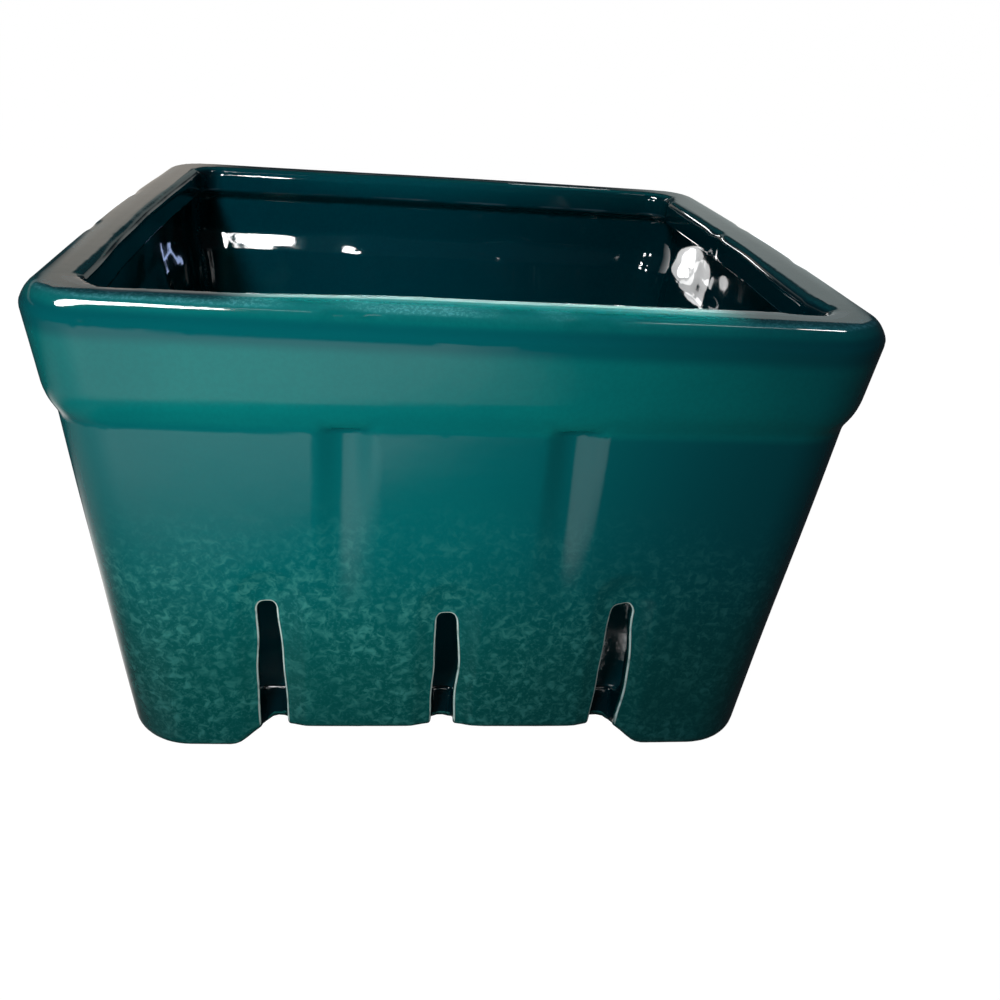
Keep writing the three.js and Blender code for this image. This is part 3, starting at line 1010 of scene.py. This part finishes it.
def plain_floor():
    """Pale floor under the object, not seen in its reflections."""
    half = FLOOR_HALF
    corners = [(-half, -half, 0), (half, -half, 0), (half, half, 0), (-half, half, 0)]
    mesh = bpy.data.meshes.new("pale_floor")
    mesh.from_pydata(corners, [], [(0, 1, 2, 3)])
    material = bpy.data.materials.new("pale_floor")
    g = Nodes(material)
    shader = g.add("ShaderNodeBsdfPrincipled")
    shader.inputs["Base Color"].default_value = FLOOR_GREY
    shader.inputs["Roughness"].default_value = 0.9
    shader.inputs["Specular IOR Level"].default_value = 0.0
    shader.inputs["Emission Color"].default_value = WHITE
    shader.inputs["Emission Strength"].default_value = 1.0
    out = g.add("ShaderNodeOutputMaterial")
    g.link(shader.outputs[0], out.inputs[0])
    mesh.materials.append(material)
    floor = bpy.data.objects.new("pale_floor", mesh)
    bpy.context.scene.collection.objects.link(floor)
    floor.visible_glossy = False
    floor.visible_diffuse = False


# Camera fitted to the outline in the photo: angles in radians, place in metres
YAW = 0.13089
PITCH = 0.43521
ROLL = -0.07879
CAMERA_PLACE = (-0.0157, -0.2372, 0.1381)
FOCAL_PIXELS = 1054.18
PHOTO_PIXELS = 1000
SENSOR_WIDTH = 36


def camera():
    """The photo's view."""
    yaw, pitch, roll = YAW, PITCH, ROLL
    forward = Vector((math.sin(yaw) * math.cos(pitch), math.cos(yaw) * math.cos(pitch), -math.sin(pitch)))
    right = Vector((math.cos(yaw), -math.sin(yaw), 0))
    down = forward.cross(right)
    across = math.cos(roll) * right + math.sin(roll) * down
    below = -math.sin(roll) * right + math.cos(roll) * down
    data = bpy.data.cameras.new("camera")
    data.sensor_width = SENSOR_WIDTH
    data.lens = FOCAL_PIXELS * SENSOR_WIDTH / PHOTO_PIXELS
    data.clip_start = 0.01
    obj = bpy.data.objects.new("camera", data)
    turn = Matrix((across, -below, -forward)).transposed().to_4x4()
    obj.matrix_world = Matrix.Translation(CAMERA_PLACE) @ turn
    bpy.context.scene.collection.objects.link(obj)
    bpy.context.scene.camera = obj


def light(name, kind, place, target, **settings):
    """A lamp in millimetres that looks at its target."""
    data = bpy.data.lights.new(name, kind)
    for key, value in settings.items():
        setattr(data, key, value)
    obj = bpy.data.objects.new(name, data)
    obj.location = Vector(place) * MM
    look = Vector(target) - Vector(place)
    obj.rotation_euler = look.to_track_quat("-Z", "Y").to_euler()
    obj.visible_camera = False
    bpy.context.scene.collection.objects.link(obj)
    return obj


def soft_light(name, kind, place, target, **settings):
    """Light that falls on the glaze and isn't mirrored by it."""
    light(name, kind, place, target, **settings).visible_glossy = False


def mirrored(name, place, target, width, height, glow, colour=(1, 1, 1), spread=math.pi):
    """A bright panel that only the glaze's mirror image shows, as a window in the room would be."""
    area = width * height * MM**2
    panel = light(name, "AREA", place, target, shape="ELLIPSE", size=width * MM, size_y=height * MM,
                  energy=4 * glow * area, color=colour, spread=spread)
    panel.visible_diffuse = False


# What the glaze mirrors of the room
DARK_ROOM = (0.02, 0.024, 0.028, 1)
FAR_WALL = (0.25, 0.28, 0.27, 1)
LEFT_WALL = (0.52, 0.47, 0.42, 1)
RIGHT_WALL = (0.42, 0.46, 0.45, 1)
TABLE = (0.84, 0.82, 0.80, 1)
ROOM_FILL = (0.006, 0.008, 0.011, 1)

# Its limits in the direction of a mirrored ray: where each begins, and where it is full
BEHIND = (0.0, 0.1)
WALLS_TOP = (0.29, 0.24)
WALLS_LOW = (-0.40, -0.34)
LEAST_BACKWARD = 0.1
LEFT_WALL_FROM = (-0.12, -0.17)
LEFT_WALL_TO = (-0.36, -0.29)
RIGHT_WALL_FROM = (0.20, 0.30)
RIGHT_WALL_TO = (0.58, 0.46)
FAR_WALL_UP = (0.17, 0.21)
FAR_WALL_TO = (0.42, 0.30)
TABLE_TURN = (0.53, 2.1)
TABLE_RISE = 0.35
TABLE_DOWN = (-0.42, -0.50)
TABLE_TO = (0.30, -0.02)
TABLE_NEAR = (-0.66, -0.53)
TABLE_LEFT = (-0.85, -0.45)


def walls_seen(g, x, y, z):
    """Pale walls beyond the basket, in a dark room."""
    behind = g.times(g.ramp(y, *BEHIND), g.ramp(z, *WALLS_TOP), g.ramp(z, *WALLS_LOW))
    heading = g.math("DIVIDE", x, g.either(y, LEAST_BACKWARD))
    left = g.times(g.ramp(heading, *LEFT_WALL_FROM), g.ramp(heading, *LEFT_WALL_TO))
    right = g.times(g.ramp(heading, *RIGHT_WALL_FROM), g.ramp(heading, *RIGHT_WALL_TO))
    far = g.times(g.ramp(z, *FAR_WALL_UP), g.ramp(heading, *FAR_WALL_TO))
    glow = g.mix(g.times(behind, far), DARK_ROOM, FAR_WALL)
    glow = g.mix(g.times(behind, left), glow, LEFT_WALL)
    return g.mix(g.times(behind, right), glow, RIGHT_WALL)


def table_seen(g, x, z):
    """How much of the pale table a mirrored ray meets, with a slanted right edge and a fading near side."""
    level, lean = TABLE_TURN
    edge = g.math("SUBTRACT", x, g.times(g.math("ADD", z, level), lean))
    top = g.math("ADD", z, g.times(g.either(x, 0.0), TABLE_RISE))
    table = g.times(g.ramp(top, *TABLE_DOWN), g.ramp(edge, *TABLE_TO))
    table = g.times(table, g.ramp(z, *TABLE_NEAR, 0.10, 1.0))
    return g.times(table, g.ramp(x, *TABLE_LEFT, 0.35, 1.0))


def room():
    """White for the camera, a dim room for soft light, and what the glaze mirrors of it."""
    world = bpy.data.worlds.new("room")
    bpy.context.scene.world = world
    g = Nodes(world)
    x, y, z = g.split(g.add("ShaderNodeTexCoord").outputs["Generated"])
    glow = g.mix(table_seen(g, x, z), walls_seen(g, x, y, z), TABLE)
    path = g.add("ShaderNodeLightPath").outputs
    glow = g.mix(path["Is Diffuse Ray"], glow, ROOM_FILL)
    glow = g.mix(path["Is Camera Ray"], glow, WHITE)
    back = g.add("ShaderNodeBackground")
    g.link(glow, back.inputs["Color"])
    out = g.add("ShaderNodeOutputWorld")
    g.link(back.outputs[0], out.inputs[0])


def soft_lights():
    """A low soft key from the front left, and weak bluish light from the front, the top and the back."""
    soft_light("key", "SPOT", (-190, -490, 86), (-30, -74, 90), energy=10.3, spot_size=math.radians(21),
               spot_blend=1.0, shadow_soft_size=0.03)
    soft_light("sky", "AREA", (-261, -650, 552), (0, 67, 75), shape="SQUARE", size=0.12, energy=1.5,
               color=(0.8, 1.0, 1.35))
    soft_light("top", "AREA", (0, 0, 800), (0, 0, 94), shape="SQUARE", size=0.5, energy=0.08,
               color=(0.8, 1.0, 1.3))
    soft_light("strip", "AREA", (3, -53, 120), (3, -66, 94), shape="RECTANGLE", size=0.08, size_y=0.003,
               energy=0.0072, spread=math.radians(26))
    soft_light("bounce", "AREA", (-50, -150, 8), (-50, -66, 25), shape="RECTANGLE", size=0.12, size_y=0.01,
               energy=0.04)
    for side, x, energy in (("left", -200, 1.3), ("right", 200, 2.2)):
        soft_light(f"back_fill_{side}", "AREA", (x, 560, 50), (0, 66, 48), shape="RECTANGLE", size=0.4,
                   size_y=0.08, energy=energy, color=(0.85, 1.0, 1.2))


# Panels that the glaze mirrors: name, place, target, width, height and glow, and what else is set
NARROW = {"spread": math.radians(30)}
WIDE = {"spread": math.radians(135)}
PANELS = (
    ("front_window", (-290, -240, 445), (-290, -73, 93), 360, 150, 30, {}),
    ("front_window_dim", (-90, -190, 475), (-90, -73, 93), 90, 12, 4, {}),
    ("right_window", (244, -72, 445), (244, -72, 93), 82, 30, 28, {}),
    ("right_window_dim", (160, -60, 445), (160, -72, 93), 80, 24, 4, {}),
    ("ledge_window", (-55.6, -60, 111), (-50, 67, 74), 28, 29, 32, {}),
    ("pair_upper", (23, -60, 100), (61.2, 66.6, 76.3), 26, 8, 0.8, NARROW),
    ("pair_lower", (25, -60, 112), (60.1, 65.9, 72.3), 26, 8, 0.8, NARROW),
    ("lip_window", (37, 80, 107), (50, 0, 92), 32, 4, 4, WIDE),
    ("crumple_top", (61, 62, 76.5), (68, 42, 80), 4, 6, 2.4, WIDE),
    ("crumple_round_top", (60.5, 62.5, 76), (68, 42, 80), 8, 8, 0.9, WIDE),
    ("crumple_middle", (57, 62, 72.3), (68, 32, 79), 5, 6, 0.8, WIDE),
    ("crumple_low", (55.5, 62, 68.6), (68, 24, 78), 5, 5, 1.0, WIDE),
    ("crumple_foot", (53.5, 62, 67), (68, 22, 78), 4, 4, 1.0, WIDE),
    ("crumple_tail", (51.6, 62, 69.6), (68, 20, 78), 3.6, 4, 0.8, WIDE),
    ("squiggle", (-60, 62, 71.5), (-68, 28, 78), 0.8, 4, 0.7, {**WIDE, "colour": (0.45, 0.6, 1.0)}),
)


def mirrored_panels():
    """The windows and small glints that show in the glaze."""
    for name, place, target, width, height, glow, more in PANELS:
        mirrored(name, place, target, width, height, glow, **more)


build_colander()
plain_floor()
camera()
room()
soft_lights()
mirrored_panels()
bpy.context.scene.view_settings.view_transform = "Standard"
